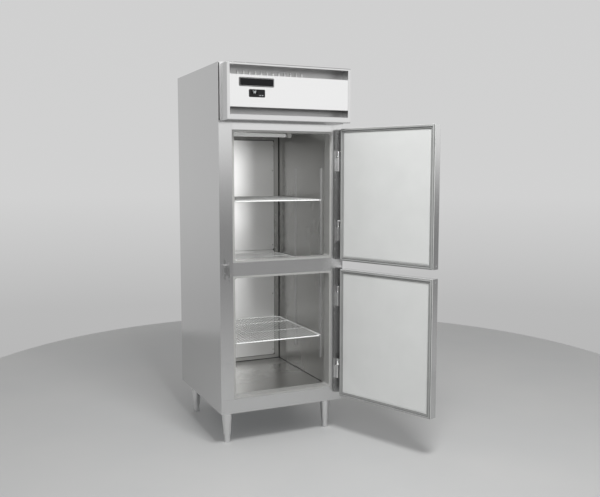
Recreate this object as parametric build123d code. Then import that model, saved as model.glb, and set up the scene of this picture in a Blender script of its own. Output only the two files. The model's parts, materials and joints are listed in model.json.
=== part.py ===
from build123d import *
import math
import os

# One-section reach-in refrigerator with two half-height doors and the refrigeration system on top.
# Millimetres. +X is to the right seen from the front, +Y to the back, +Z up.
# The origin is on the floor, at the centre of the four feet. The doors are modelled standing open.

# ---- driving dimensions: cabinet ----
WIDTH = 724.0
DEPTH = 768.0
BASE_Z = 184.0                       # underside of the cabinet above the floor
TOP_Z = 2040.0                       # top edge of the side panels
SHEET = 1.5                          # sheet steel thickness
HALF = WIDTH / 2
FRONT = -DEPTH / 2
BACK = DEPTH / 2

# ---- driving dimensions: front frame, compartment and machine deck ----
FRAME_HALF = 290.0                   # half the width of the openings in the steel front
RIM = 11.0                           # width of the breaker strip that lines each opening
RIM_BACK = FRONT + 66.0              # rear end of the breaker strips
RIM_CORNER = 12.0
LOWER_OPENING = (261.0, 929.0)
UPPER_OPENING = (1001.0, 1698.0)
LINER_HALF = FRAME_HALF - RIM
LINER_BACK = 338.0
LINER_FLOOR = 270.0
LINER_CEILING = 1712.0
DECK_Z = 1766.0                      # top face of the machine deck
VENT = (-170.0, 170.0, 80.0, 290.0)  # air opening through the ceiling: x0, x1, y0, y1

# ---- driving dimensions: inside the compartment ----
DUCT_HALF = 240.0
DUCT_DEPTH = 10.0
DUCT_CORNER = 14.0
DUCT_Z = ((300.0, 983.0), (985.0, 1675.0))
PILASTER_WIDTH = 18.0
PILASTER_DEPTH = 6.0
PILASTER_Y = (-272.0, 72.0)
PILASTER_Z = (412.0, 1500.0)
SLOT_PITCH = 25.4
SHELF_Z = {"shelf_lower": 552.0, "shelf_middle": 967.0, "shelf_upper": 1326.0}
SHELF_HALF = 269.0
SHELF_Y = (-315.0, 325.0)
SHELF_BARS_Y = (-79.0, 159.0)        # cross bars under the deck wires
RIM_WIRE = 6.3
BAR_WIRE = 5.0
DECK_WIRE = 3.2
CLIP_REACH = 12.0                    # how far a clip's ledge stands out from its standard
DECK_WIRES = 25
LAMP_Y = -10.0
LAMP_Z = 1692.0
LAMP_R = 10.0
LAMP_HALF = 185.0

# ---- driving dimensions: doors ----
DOOR_HALF = 305.0
DOOR_THICK = 50.0
DOOR_GAP = 10.0                      # door's inner face to the steel front, taken up by the gasket
DOOR_Z = {"lower": (217.0, 940.0), "upper": (988.0, 1714.0)}
PIN_X = 326.0
PIN_Y = -400.0
OPEN_ANGLE = 112.0                   # how far both doors stand open
HINGE_LENGTH = 112.0
HINGE_Z = {"lower": (371.0, 785.0), "upper": (1153.0, 1538.0)}
PIN_R = 4.0
KNUCKLE_R = 7.0
RUNNING = 0.06                       # radial running clearance of pins and bolts
GASKET_WIDTH = 20.0
GASKET_INSET = 2.0
GASKET_THICK = 9.4
HANDLE_X = -262.0
HANDLE_LENGTH = 190.0
HANDLE_REACH = 38.0
BOLT_R = 5.0
BOLT_DEPTH = 22.0                    # bolt axis behind the door's outer face
BOLT_EDGE = 18.0                     # bolt axis from the door edge that meets the mullion
LOCK_X = -278.0
LOCK_R = 9.0
INNER_Y = FRONT - DOOR_GAP
OUTER_Y = INNER_Y - DOOR_THICK

# ---- driving dimensions: hood ----
HOOD_HALF = 350.0
HOOD_FRONT = FRONT - 105.0
HOOD_Z = (1741.0, 2029.0)
HOOD_OPENING = (-335.0, 335.0, 1770.0, 2017.0)
HOOD_PANEL_Z = (1807.0, 1969.0)
PANEL_Y = HOOD_FRONT + SHEET         # front face of the hood's panel
PLATE = (-286.0, -95.0, 1910.0, 1955.0)
DISPLAY = (-232.0, -146.0, 1857.5, 1896.5)
KEY_X = (-174.0, -160.0)
KEY_Z = 1866.0
KEY_HALF = (6.0, 3.0)                # half width and half height of a key
BEZEL = 3.5                          # how far the controller's bezel stands out

# ---- driving dimensions: legs ----
LEG_X = 300.0
LEG_Y = 292.0
LEG_TOP_R = 31.0
LEG_END_R = 21.0
LEG_END_Z = 42.0
FOOT_R = 17.5
FOOT_SHOULDER_Z = 41.0
SPINDLE_R = 8.0
SPINDLE_TOP_Z = 96.0
SLEEVE_BORE_TOP_Z = 130.0

# ---- driving dimensions: refrigeration system on the deck ----
EVAP = (-205.0, 205.0, 48.0, 330.0, 1930.0)      # evaporator housing: x0, x1, y0, y1, top
CONDENSER = (-320.0, 50.0, -362.0, -314.0, 1782.0, 2000.0)
FAN_X = -135.0
FAN_Z = 1888.0
FAN_Y = -270.0
FAN_R = 88.0
COMPRESSOR = (205.0, -170.0)
COMPRESSOR_R = 82.0
CONTROL_BOX = (232.0, 344.0, 170.0, 330.0, 1790.0, 1950.0)
GLAND_R = 5.0


def box(x0, x1, y0, y1, z0, z1):
    """A block between two corners."""
    return Pos((x0 + x1) / 2, (y0 + y1) / 2, (z0 + z1) / 2) * Box(x1 - x0, y1 - y0, z1 - z0)


def rod(axis, centre, radius, length):
    """A round bar along X, Y or Z about its centre."""
    turn = {"X": Rot(0, 90, 0), "Y": Rot(90, 0, 0), "Z": Rot(0, 0, 0)}[axis]
    return Pos(*centre) * turn * Cylinder(radius, length)


def slab(x0, x1, z0, z1, y0, y1, corner):
    """A plate facing the front, with rounded corners seen from the front."""
    face = RectangleRounded(x1 - x0, z1 - z0, corner)
    plane = Plane(((x0 + x1) / 2, y1, (z0 + z1) / 2), x_dir=(1, 0, 0), z_dir=(0, -1, 0))
    return extrude(plane * face, y1 - y0)


def group(*pieces):
    """Separate solids of one kind that share a node."""
    solids = []
    for piece in pieces:
        solids.extend(piece.solids())
    return Compound(children=solids)


def save(name, shape):
    export_step(shape, os.path.join("parts", name + ".step"))


def save_all(nodes):
    for name, shape in nodes.items():
        save(name, shape)


# ---- cabinet shell ----
def side_panel(side):
    """Outer side skin with a stiffening return along its top and rear edges."""
    y0 = FRONT + SHEET
    skin = box(HALF - SHEET, HALF, y0, BACK, BASE_Z, TOP_Z)
    top_return = box(HALF - 20, HALF, y0, BACK, TOP_Z - SHEET, TOP_Z)
    rear_return = box(HALF - 20, HALF, BACK - SHEET, BACK, DECK_Z, TOP_Z)
    panel = skin + top_return + rear_return
    return panel if side > 0 else mirror(panel, about=Plane.YZ)


def cabinet_shell():
    inner = HALF - SHEET
    vent = box(*VENT, DECK_Z - 60, DECK_Z + 10)
    return {
        "side_panel_left": side_panel(-1),
        "side_panel_right": side_panel(1),
        "back_panel": box(-inner, inner, BACK - SHEET, BACK, BASE_Z, DECK_Z),
        "bottom_panel": box(-inner, inner, FRONT + SHEET, BACK - SHEET, BASE_Z, BASE_Z + SHEET),
        "top_deck": box(-inner, inner, FRONT + SHEET, BACK - SHEET, DECK_Z - SHEET, DECK_Z) - vent,
    }


# ---- stainless front frame ----
def front_frame():
    z0, z1 = LOWER_OPENING
    z2, z3 = UPPER_OPENING
    y0, y1 = FRONT, FRONT + SHEET
    mullion = box(-FRAME_HALF, FRAME_HALF, y0, RIM_BACK, z1, z2)
    mullion -= box(-FRAME_HALF, FRAME_HALF, y1, RIM_BACK - SHEET, z1 + SHEET, z2 - SHEET)
    return {
        "stile_left": box(-HALF, -FRAME_HALF, y0, y1, z0, DECK_Z),
        "stile_right": box(FRAME_HALF, HALF, y0, y1, z0, DECK_Z),
        "header_rail": box(-FRAME_HALF, FRAME_HALF, y0, y1, z3, DECK_Z),
        "mullion_cover": mullion,
        "bottom_rail": box(-HALF, HALF, y0, y1, BASE_Z, z0),
    }


def breaker_strip(opening):
    """Moulded frame that lines one opening from the steel front to the liner."""
    z0, z1 = opening
    ring = box(-FRAME_HALF, FRAME_HALF, FRONT, RIM_BACK, z0, z1)
    hole = slab(-LINER_HALF, LINER_HALF, z0 + RIM, z1 - RIM, FRONT - 5, RIM_BACK + 5, RIM_CORNER)
    return ring - hole


# ---- insulation and liner ----
def cabinet_foam():
    """One foamed-in-place body round the liner, and a second one inside the mullion."""
    gap = SHEET
    z0, z3 = LOWER_OPENING[0], UPPER_OPENING[1]
    y0, y1 = FRONT + gap, BACK - gap
    x_out = HALF - gap
    x_in = LINER_HALF + gap
    low, high = BASE_Z + gap, DECK_Z - gap
    foam = box(-x_out, x_out, y0, y1, low, high)
    foam -= box(-FRAME_HALF, FRAME_HALF, y0, RIM_BACK, z0, z3)
    foam -= box(-x_in, x_in, RIM_BACK, LINER_BACK + gap, LINER_FLOOR - gap, LINER_CEILING + gap)
    foam -= box(*VENT, LINER_CEILING, DECK_Z)
    core = box(-FRAME_HALF, FRAME_HALF, FRONT + gap, RIM_BACK - gap,
               LOWER_OPENING[1] + gap, UPPER_OPENING[0] - gap)
    return group(foam, core)


def liner():
    """Stainless inner box, open at the front, with the air opening in its ceiling."""
    gap = SHEET
    shell = box(-LINER_HALF - gap, LINER_HALF + gap, RIM_BACK, LINER_BACK + gap,
                LINER_FLOOR - gap, LINER_CEILING + gap)
    shell -= box(-LINER_HALF, LINER_HALF, RIM_BACK, LINER_BACK, LINER_FLOOR, LINER_CEILING)
    return shell - box(*VENT, LINER_CEILING - 5, LINER_CEILING + 5)


def duct_panels():
    """Two shallow trays on the back wall that carry the cold air down."""
    trays = []
    y0 = LINER_BACK - DUCT_DEPTH
    for z0, z1 in DUCT_Z:
        tray = slab(-DUCT_HALF, DUCT_HALF, z0, z1, y0, LINER_BACK, DUCT_CORNER)
        tray -= slab(-DUCT_HALF + SHEET, DUCT_HALF - SHEET, z0 + SHEET, z1 - SHEET,
                     y0 + SHEET, LINER_BACK, DUCT_CORNER - SHEET)
        trays.append(tray)
    return group(*trays)


# ---- shelving ----
def pilaster(side, y):
    """Slotted shelf standard, a channel open towards the wall."""
    z0, z1 = PILASTER_Z
    x0, x1 = LINER_HALF - PILASTER_DEPTH, LINER_HALF
    bar = box(x0, x1, y - PILASTER_WIDTH / 2, y + PILASTER_WIDTH / 2, z0, z1)
    bar -= box(x0 + SHEET, x1, y - PILASTER_WIDTH / 2 + SHEET, y + PILASTER_WIDTH / 2 - SHEET, z0, z1)
    count = int((z1 - z0) / SLOT_PITCH) - 1
    slots = [box(x0 - 1, x0 + SHEET + 1, y - 5, y + 5, z - 1.6, z + 1.6)
             for z in (z0 + SLOT_PITCH * (i + 1) for i in range(count))]
    bar -= slots
    return bar if side > 0 else mirror(bar, about=Plane.YZ)


def shelf_clip(side, y, shelf_z):
    """Hook on the standard with a ledge under the shelf's side wire."""
    wall = LINER_HALF - PILASTER_DEPTH
    ledge = shelf_z - DECK_WIRE / 2 - RIM_WIRE - 0.2
    inner = wall - CLIP_REACH
    half = 6.0
    clip = box(wall - SHEET, wall, y - half, y + half, ledge - 18, ledge)
    clip += box(inner, wall, y - half, y + half, ledge - SHEET, ledge)
    clip += box(inner, inner + SHEET, y - half, y + half, ledge - SHEET, ledge + 1.2)
    return clip if side > 0 else mirror(clip, about=Plane.YZ)


def shelf(z):
    """Wire shelf: a round-cornered rim, two cross bars and the deck wires welded on top."""
    corner = 16.0
    r = RIM_WIRE / 2
    y0, y1 = SHELF_Y[0] + r, SHELF_Y[1] - r
    x1 = SHELF_HALF - r
    y_mid = (y0 + y1) / 2
    low = z - DECK_WIRE / 2 - r + 0.5
    pieces = []
    for y in (y0, y1):
        pieces.append(rod("X", (0, y, low), r, 2 * (x1 - corner)))
    for x in (-x1, x1):
        pieces.append(rod("Y", (x, y_mid, low), r, y1 - y0 - 2 * corner))
    for x, y, start in ((x1, y1, 0), (-x1, y1, 90), (-x1, y0, 180), (x1, y0, 270)):
        cx = x - math.copysign(corner, x)
        cy = y - math.copysign(corner, y - y_mid)
        pieces.append(Pos(cx, cy, low) * Rot(0, 0, start) * Torus(corner, r, major_angle=90))
    bar_z = z - (DECK_WIRE + BAR_WIRE) / 2 + 0.5
    for y in SHELF_BARS_Y:
        pieces.append(rod("X", (0, y, bar_z), BAR_WIRE / 2, 2 * x1))
    pitch = 2 * x1 / (DECK_WIRES + 1)
    length = SHELF_Y[1] - SHELF_Y[0] - 1.0
    for i in range(DECK_WIRES):
        x = -x1 + pitch * (i + 1)
        pieces.append(rod("Y", (x, y_mid, z), DECK_WIRE / 2, length))
    return pieces[0] + pieces[1:]


def shelving():
    nodes = {"pilasters": group(*[pilaster(s, y) for s in (-1, 1) for y in PILASTER_Y])}
    clips = [shelf_clip(s, y, z) for z in SHELF_Z.values() for s in (-1, 1) for y in PILASTER_Y]
    nodes["shelf_clips"] = group(*clips)
    first = shelf(0)
    for name, z in SHELF_Z.items():
        nodes[name] = Pos(0, 0, z) * first
    return nodes


# ---- lamp ----
def lamp():
    """Tube lamp under the ceiling, held by a bracket with two end sockets."""
    socket = 24.0
    reach = LAMP_HALF + socket
    tray = box(-reach, reach, LAMP_Y - 16, LAMP_Y + 16, LINER_CEILING - 8, LINER_CEILING)
    for x0, x1 in ((-reach, -LAMP_HALF), (LAMP_HALF, reach)):
        tray += box(x0, x1, LAMP_Y - 13, LAMP_Y + 13, LAMP_Z - 3, LINER_CEILING - 8)
        tray += rod("X", ((x0 + x1) / 2, LAMP_Y, LAMP_Z), 13, socket)
    tube = rod("X", (0, LAMP_Y, LAMP_Z), LAMP_R, 2 * LAMP_HALF)
    return {"lamp_fixture": tray, "lamp_tube": tube}


# ---- fixed halves of the hinges, strike and fasteners ----
def hinge_frame_half(z):
    """Leaf on the stile with the lower knuckle and its bore."""
    z0, z1 = z - HINGE_LENGTH / 2, z + HINGE_LENGTH / 2
    split = z1 - 38
    leaf = box(306.5, 320, FRONT - 3, FRONT, z0, z1)
    leaf += box(314, PIN_X, FRONT - 12, FRONT - 1, z0, split)
    leaf += rod("Z", (PIN_X, PIN_Y, (z0 + split) / 2), KNUCKLE_R, split - z0)
    leaf += box(PIN_X - 4, PIN_X + 4, PIN_Y, FRONT - 2, z0, split)
    return leaf - rod("Z", (PIN_X, PIN_Y, z + 1), PIN_R, HINGE_LENGTH - 16)


def hinge_pin(z):
    """Pin that is fast in the lower knuckle and carries the upper one."""
    return rod("Z", (PIN_X, PIN_Y, z + 1), PIN_R, HINGE_LENGTH - 16)


def lock_strike():
    """Angle bracket on the left stile that both lock bolts reach."""
    z_low, z_high = DOOR_Z["lower"][1], DOOR_Z["upper"][0]
    x0, x1 = -347.0, -323.0
    bolt_y = OUTER_Y + BOLT_DEPTH
    base = box(x0, x1, FRONT - 2, FRONT, z_low - 5, z_high + 5)
    base += box(x1 - 2, x1, bolt_y - 11, FRONT, z_low - 5, z_high + 5)
    base += box(x0, x1, FRONT - 22, FRONT, z_high + 3, z_high + 5)
    base += box(x1 - 2, x1, bolt_y - 11, bolt_y + 11, z_low - BOLT_EDGE - 12, z_high + BOLT_EDGE + 12)
    for z in (z_low - BOLT_EDGE, z_high + BOLT_EDGE):
        base -= rod("X", (x1, bolt_y, z), BOLT_R + 1.5, 20)
    return base


def pan_head(x, z, y=FRONT, r=4.0):
    """Screw head standing on a face that looks to the front."""
    head = rod("Y", (x, y - 1.25, z), r, 2.5)
    return head - box(x - r, x + r, y - 2.6, y - 1.7, z - 0.5, z + 0.5)


def fasteners():
    """Screw heads on the front frame and on the duct panels."""
    heads = []
    for low, high in HINGE_Z.values():
        for z in (low, high):
            heads.append(pan_head(314, z - HINGE_LENGTH / 2 - 8))
            heads.append(pan_head(314, z - HINGE_LENGTH / 2 - 46))
    for z in (947, 981):
        heads.append(pan_head(-335, z, FRONT - 2, 3.0))
    duct_y = LINER_BACK - DUCT_DEPTH
    for z in (330, 700, 955, 1015, 1488, 1645):
        for x in (-DUCT_HALF + 10, DUCT_HALF - 10):
            heads.append(pan_head(x, z, duct_y, 4.0))
    return group(*heads)


# ---- doors, modelled shut and then swung open about their pins ----
def swing(shape):
    return shape.rotate(Axis((PIN_X, PIN_Y, 0), (0, 0, 1)), OPEN_ANGLE)


def door_skin(z0, z1, lock_z, bolt_z):
    """Outer shell of the door: face and four edges, with the lock's holes."""
    skin = box(-DOOR_HALF, DOOR_HALF, OUTER_Y, INNER_Y - 2, z0, z1)
    outer_edges = skin.edges().filter_by(Axis.Z).group_by(Axis.Y)[0]
    skin = fillet(outer_edges, 5)
    skin -= box(-DOOR_HALF + SHEET, DOOR_HALF - SHEET, OUTER_Y + SHEET, INNER_Y - 2,
                z0 + SHEET, z1 - SHEET)
    skin -= rod("Y", (LOCK_X, OUTER_Y, lock_z), LOCK_R + RUNNING, 20)
    return skin - rod("X", (-DOOR_HALF, OUTER_Y + BOLT_DEPTH, bolt_z), BOLT_R + RUNNING, 20)


def door_pan(z0, z1):
    """Inner face of the door, with the gasket's channel and a raised panel."""
    edge = GASKET_INSET + GASKET_WIDTH
    pan = box(-DOOR_HALF, DOOR_HALF, INNER_Y - 2, INNER_Y, z0, z1)
    raised = slab(-DOOR_HALF + edge + 6, DOOR_HALF - edge - 6, z0 + edge + 6, z1 - edge - 6,
                  INNER_Y, INNER_Y + 2.5, 8)
    return pan + raised


def door_gasket(z0, z1):
    """Magnetic gasket: a flat base and a hollow sealing bead all round the door."""
    a = GASKET_INSET
    b = a + GASKET_WIDTH
    outer = slab(-DOOR_HALF + a, DOOR_HALF - a, z0 + a, z1 - a, INNER_Y, INNER_Y + GASKET_THICK, 4)
    outer -= slab(-DOOR_HALF + b, DOOR_HALF - b, z0 + b, z1 - b, INNER_Y - 1,
                  INNER_Y + GASKET_THICK + 1, 3)
    c = a + 5.5
    d = c + 2.0
    groove = slab(-DOOR_HALF + c, DOOR_HALF - c, z0 + c, z1 - c, INNER_Y + 4, INNER_Y + 20, 3)
    groove -= slab(-DOOR_HALF + d, DOOR_HALF - d, z0 + d, z1 - d, INNER_Y, INNER_Y + 21, 3)
    return outer - groove


def door_handle(z):
    """Upright pull: two posts and a grip with rounded edges."""
    y0 = OUTER_Y - HANDLE_REACH
    grip = box(HANDLE_X - 11, HANDLE_X + 11, y0, y0 + 9, z - HANDLE_LENGTH / 2, z + HANDLE_LENGTH / 2)
    grip = fillet(grip.edges().filter_by(Axis.Z), 3.5)
    for end in (-1, 1):
        z_post = z + end * (HANDLE_LENGTH / 2 - 14)
        grip += box(HANDLE_X - 8, HANDLE_X + 8, y0 + 4, OUTER_Y, z_post - 11, z_post + 11)
        grip += slab(HANDLE_X - 13, HANDLE_X + 13, z_post - 17, z_post + 17, OUTER_Y - 2.5, OUTER_Y, 5)
    return grip


def hinge_door_half(z):
    """Leaf on the door's edge with the upper knuckle and its running bore."""
    z1 = z + HINGE_LENGTH / 2
    z0 = z1 - 37
    leaf = box(DOOR_HALF, DOOR_HALF + 3, OUTER_Y + 8, INNER_Y - 3, z0, z1)
    leaf += box(DOOR_HALF, PIN_X - 2, PIN_Y - 4, PIN_Y + 4, z0, z1)
    leaf += rod("Z", (PIN_X, PIN_Y, (z0 + z1) / 2), KNUCKLE_R, z1 - z0)
    return leaf - rod("Z", (PIN_X, PIN_Y, z + 5), PIN_R + RUNNING, HINGE_LENGTH - 8)


def lock_cylinder(z):
    """Key cylinder: a plug with a keyway and a short drum inside the door."""
    plug = rod("Y", (LOCK_X, OUTER_Y + 8, z), LOCK_R, 22)
    plug += rod("Y", (LOCK_X, OUTER_Y - 1.5, z), LOCK_R + 3, 2.9)
    return plug - box(LOCK_X - 1, LOCK_X + 1, OUTER_Y - 6, OUTER_Y + 5, z - 4.5, z + 4.5)


def lock_bolt(z):
    """Round bolt that slides out of the door's free edge."""
    return rod("X", (-DOOR_HALF + 20.5, OUTER_Y + BOLT_DEPTH, z), BOLT_R, 40)


def door(name):
    z0, z1 = DOOR_Z[name]
    if name == "upper":
        bolt_z, lock_z, handle_z = z0 + BOLT_EDGE, z0 + 46, z0 + 190
    else:
        bolt_z, lock_z, handle_z = z1 - BOLT_EDGE, z1 - 46, z1 - 190
    hinges = group(*[swing(hinge_door_half(z)) for z in HINGE_Z[name]])
    pieces = {
        "skin": door_skin(z0, z1, lock_z, bolt_z),
        "pan": door_pan(z0, z1),
        "gasket": door_gasket(z0, z1),
        "handle": door_handle(handle_z),
        "lock_cylinder": lock_cylinder(lock_z),
        "lock_bolt": lock_bolt(bolt_z),
    }
    nodes = {f"door_{name}_{key}": swing(piece) for key, piece in pieces.items()}
    nodes[f"door_{name}_hinge_halves"] = hinges
    return nodes


# ---- hood ----
def hood_shell():
    """Folded stainless hood, with a flange that closes the cabinet's front edge round it."""
    x0, x1, z0, z1 = HOOD_OPENING
    shell = box(-HOOD_HALF, HOOD_HALF, HOOD_FRONT, FRONT, *HOOD_Z)
    shell = fillet(shell.edges().filter_by(Axis.X).group_by(Axis.Y)[0], 4)
    shell -= box(-HOOD_HALF + SHEET, HOOD_HALF - SHEET, HOOD_FRONT + SHEET, FRONT,
                 HOOD_Z[0] + SHEET, HOOD_Z[1] - SHEET)
    flange = box(-HALF, HALF, FRONT, FRONT + SHEET, DECK_Z, TOP_Z)
    flange -= box(-HOOD_HALF + SHEET, HOOD_HALF - SHEET, FRONT - 5, FRONT + 5, DECK_Z - 5, HOOD_Z[1] - SHEET)
    return shell + flange - box(x0, x1, HOOD_FRONT - 5, HOOD_FRONT + 5, z0, z1)


def hood_panel():
    """Front panel between the two air slots, folded back along its long edges."""
    x0, x1 = HOOD_OPENING[:2]
    z0, z1 = HOOD_PANEL_Z
    y0 = PANEL_Y
    panel = box(x0 - 8, x1 + 8, y0, y0 + SHEET, z0, z1)
    panel += box(x0 - 8, x1 + 8, y0, y0 + 22, z0, z0 + SHEET)
    panel += box(x0 - 8, x1 + 8, y0, y0 + 22, z1 - SHEET, z1)
    dx0, dx1, dz0, dz1 = DISPLAY
    return panel - box(dx0 + 7, dx1 - 7, y0 - 5, y0 + 5, dz0 + 5, dz1 - 5)


def controller():
    """Temperature controller: a bezel in front of the panel and a case behind it."""
    x0, x1, z0, z1 = DISPLAY
    y0 = PANEL_Y
    half_x, half_z = KEY_HALF[0] + RUNNING, KEY_HALF[1] + RUNNING
    body = slab(x0, x1, z0, z1, y0 - BEZEL, y0, 5)
    body += box(x0 + 7, x1 - 7, y0, y0 + 52, z0 + 5, z1 - 5)
    for x in KEY_X:
        body -= slab(x - half_x, x + half_x, KEY_Z - half_z, KEY_Z + half_z, y0 - 5, y0 + 1, 1.5)
    return body


def controller_key(x):
    y0 = PANEL_Y
    half_x, half_z = KEY_HALF
    return slab(x - half_x, x + half_x, KEY_Z - half_z, KEY_Z + half_z, y0 - BEZEL - 0.8, y0 - 0.5, 1.5)


def hood():
    y0 = PANEL_Y
    x0, x1, z0, z1 = PLATE
    return {
        "hood_shell": hood_shell(),
        "hood_panel": hood_panel(),
        "name_plate": slab(x0, x1, z0, z1, y0 - 2, y0, 6),
        "controller": controller(),
        "key_down": controller_key(KEY_X[0]),
        "key_up": controller_key(KEY_X[1]),
    }


# ---- legs ----
def leg_sleeve(x, y):
    """Tapered tube under a square plate, with a bore that guides the foot."""
    plate = box(x - 44, x + 44, y - 44, y + 44, BASE_Z - 4, BASE_Z)
    top = BASE_Z - 4
    tube = Pos(x, y, (LEG_END_Z + top) / 2) * Cone(LEG_END_R, LEG_TOP_R, top - LEG_END_Z)
    depth = SLEEVE_BORE_TOP_Z - LEG_END_Z
    return plate + tube - rod("Z", (x, y, LEG_END_Z + depth / 2), FOOT_R + 0.1, depth)


def foot(x, y):
    """Height-adjusting foot: a round stud below the sleeve and a spindle inside it."""
    body = rod("Z", (x, y, FOOT_SHOULDER_Z / 2), FOOT_R, FOOT_SHOULDER_Z)
    body = chamfer(body.edges().group_by(Axis.Z)[0], 0.4)
    spindle = SPINDLE_TOP_Z - FOOT_SHOULDER_Z
    return body + rod("Z", (x, y, FOOT_SHOULDER_Z + spindle / 2), SPINDLE_R, spindle)


def legs():
    places = {"fl": (-LEG_X, -LEG_Y), "fr": (LEG_X, -LEG_Y),
              "rl": (-LEG_X, LEG_Y), "rr": (LEG_X, LEG_Y)}
    nodes = {"foot_" + key: foot(*place) for key, place in places.items()}
    nodes["leg_sleeves"] = group(*[leg_sleeve(*place) for place in places.values()])
    return nodes


# ---- refrigeration system ----
def compressor():
    """Hermetic compressor: a domed can on a base plate with four rubber-bushed feet."""
    x, y = COMPRESSOR
    r = COMPRESSOR_R
    z0 = DECK_Z
    can = rod("Z", (x, y, z0 + 102), r, 150)
    can = fillet(can.edges().filter_by(GeomType.CIRCLE), 30)
    can += rod("Z", (x, y, z0 + 104), r + 3, 8)
    can += box(x - 95, x + 95, y - 70, y + 70, z0 + 16, z0 + 20)
    can += rod("Z", (x, y, z0 + 24), 50, 16)
    for dx in (-80, 80):
        for dy in (-55, 55):
            can += rod("Z", (x + dx, y + dy, z0 + 11), 11, 22)
    terminal = box(x - 24, x + 24, y + r - 12, y + r + 22, z0 + 70, z0 + 124)
    return can + terminal


def condenser():
    """Finned condenser block with its tube bends and side plates."""
    x0, x1, y0, y1, z0, z1 = CONDENSER
    block = box(x0 + 14, x1 - 14, y0, y1, z0, z1)
    for x in (x0 + 12, x1 - 14):
        block += box(x, x + 2, y0 - 4, y1 + 4, DECK_Z, z1 + 6)
    bends = []
    rows = 8
    pitch = (z1 - z0) / rows
    for i in range(rows - 1):
        z = z0 + pitch * (i + 1)
        x = x1 - 12 if i % 2 == 0 else x0 + 12
        turn = Rot(90, 0, 0) if i % 2 == 0 else Rot(90, 0, 180)
        bends.append(Pos(x, (y0 + y1) / 2, z) * turn * Rot(0, 0, -90)
                     * Torus(pitch / 2 - 1, 4.5, major_angle=180))
    return block + bends


def fan_shroud():
    """Sheet shroud behind the condenser, with the fan's ring and the motor on its bracket."""
    x0, x1, _, y1, _, z1 = CONDENSER
    ys = y1 + 4
    plate = box(x0 + 10, x1 - 10, ys, ys + SHEET, DECK_Z, z1 + 6)
    plate -= rod("Y", (FAN_X, ys, FAN_Z), FAN_R + 6, 20)
    ring = rod("Y", (FAN_X, ys + 14, FAN_Z), FAN_R + 8, 28)
    ring -= rod("Y", (FAN_X, ys + 14, FAN_Z), FAN_R + 5, 40)
    motor = rod("Y", (FAN_X, FAN_Y + 62, FAN_Z), 38, 60)
    motor = fillet(motor.edges().filter_by(GeomType.CIRCLE), 6)
    motor += rod("Y", (FAN_X, FAN_Y + 26, FAN_Z), 4, 40)
    bracket = box(FAN_X - 14, FAN_X + 14, FAN_Y + 90, FAN_Y + 92, DECK_Z, FAN_Z)
    bracket += box(FAN_X - 30, FAN_X + 30, FAN_Y + 40, FAN_Y + 92, DECK_Z, DECK_Z + 2)
    return group(plate + ring, motor + bracket)


def fan(x, y, z, radius, blades, bore, flat):
    """Pitched-blade fan with its hub; flat fans blow up, the others blow to the back."""
    hub = Cylinder(radius * 0.24, 22)
    blade_length = radius - radius * 0.2
    wheel = hub
    for i in range(blades):
        plate = Rot(28, 0, 0) * Box(blade_length, radius * 0.5, 1.8)
        wheel += Rot(0, 0, 360 / blades * i) * Pos(radius * 0.2 + blade_length / 2, 0, 0) * plate
    wheel &= Cylinder(radius, 60)
    wheel -= Cylinder(bore, 60)
    turn = Rot(0, 0, 0) if flat else Rot(90, 0, 0)
    return Pos(x, y, z) * turn * wheel


def evaporator():
    """Insulated evaporator box over the ceiling opening, its coil, and its fan with the motor."""
    x0, x1, y0, y1, z1 = EVAP
    wall = 25.0
    housing = box(x0, x1, y0, y1, DECK_Z, z1)
    housing = fillet(housing.edges().filter_by(Axis.Z), 4)
    housing -= box(x0 + wall, x1 - wall, y0 + wall, y1 - wall, DECK_Z, z1 - wall)
    cx, cy = 60.0, (y0 + y1) / 2
    coil = box(-165, -20, 90, 285, DECK_Z + 14, DECK_Z + 110)
    coil += box(-168, -165, 86, 289, DECK_Z, DECK_Z + 114)
    coil += box(-20, -17, 86, 289, DECK_Z, DECK_Z + 114)
    motor = rod("Z", (cx, cy, z1 - wall - 25), 26, 50) + rod("Z", (cx, cy, z1 - wall - 65), 3, 40)
    coil = group(coil, motor)
    blade = fan(cx, cy, z1 - wall - 74, 66, 4, 3 + RUNNING, True)
    return {"evaporator_housing": housing, "evaporator_coil": coil, "evaporator_fan": blade}


def tube(points, radii, r):
    """A bent refrigerant tube of round section."""
    path = FilletPolyline(*points, radius=radii)
    start = path @ 0
    section = Plane(origin=start, z_dir=path % 0) * Circle(r)
    return sweep(section, path=path)


def refrigerant_lines():
    """Discharge, liquid and suction tubes, and the filter drier."""
    cx, cy = COMPRESSOR
    x1, y1 = CONDENSER[1], CONDENSER[3]
    z_in = DECK_Z + 200
    top = DECK_Z + 226
    discharge = tube([(cx - 40, cy, z_in - 25), (cx - 40, cy, top), (x1 + 30, cy, top),
                      (x1 + 30, y1 - 24, top), (x1 - 14, y1 - 24, top)], 16, 4)
    suction = tube([(cx + 30, cy, z_in - 25), (cx + 30, cy, top), (cx + 30, 110, top),
                    (cx + 30, 110, DECK_Z + 90), (EVAP[1], 110, DECK_Z + 90)], 20, 7)
    dz = DECK_Z + 60
    dx = 90.0
    liquid = tube([(x1 - 12, y1 - 24, dz - 30), (dx, y1 - 24, dz - 30), (dx, -150, dz - 30)], 14, 4)
    drier = rod("Y", (dx, -100, dz - 30), 14, 100)
    drier = fillet(drier.edges().filter_by(GeomType.CIRCLE), 8)
    capillary = tube([(dx, -50, dz - 30), (dx, 0, dz - 30), (dx, 0, dz + 30),
                      (dx, EVAP[2], dz + 30)], 12, 3)
    return group(discharge, suction, liquid + drier + capillary)


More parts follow.
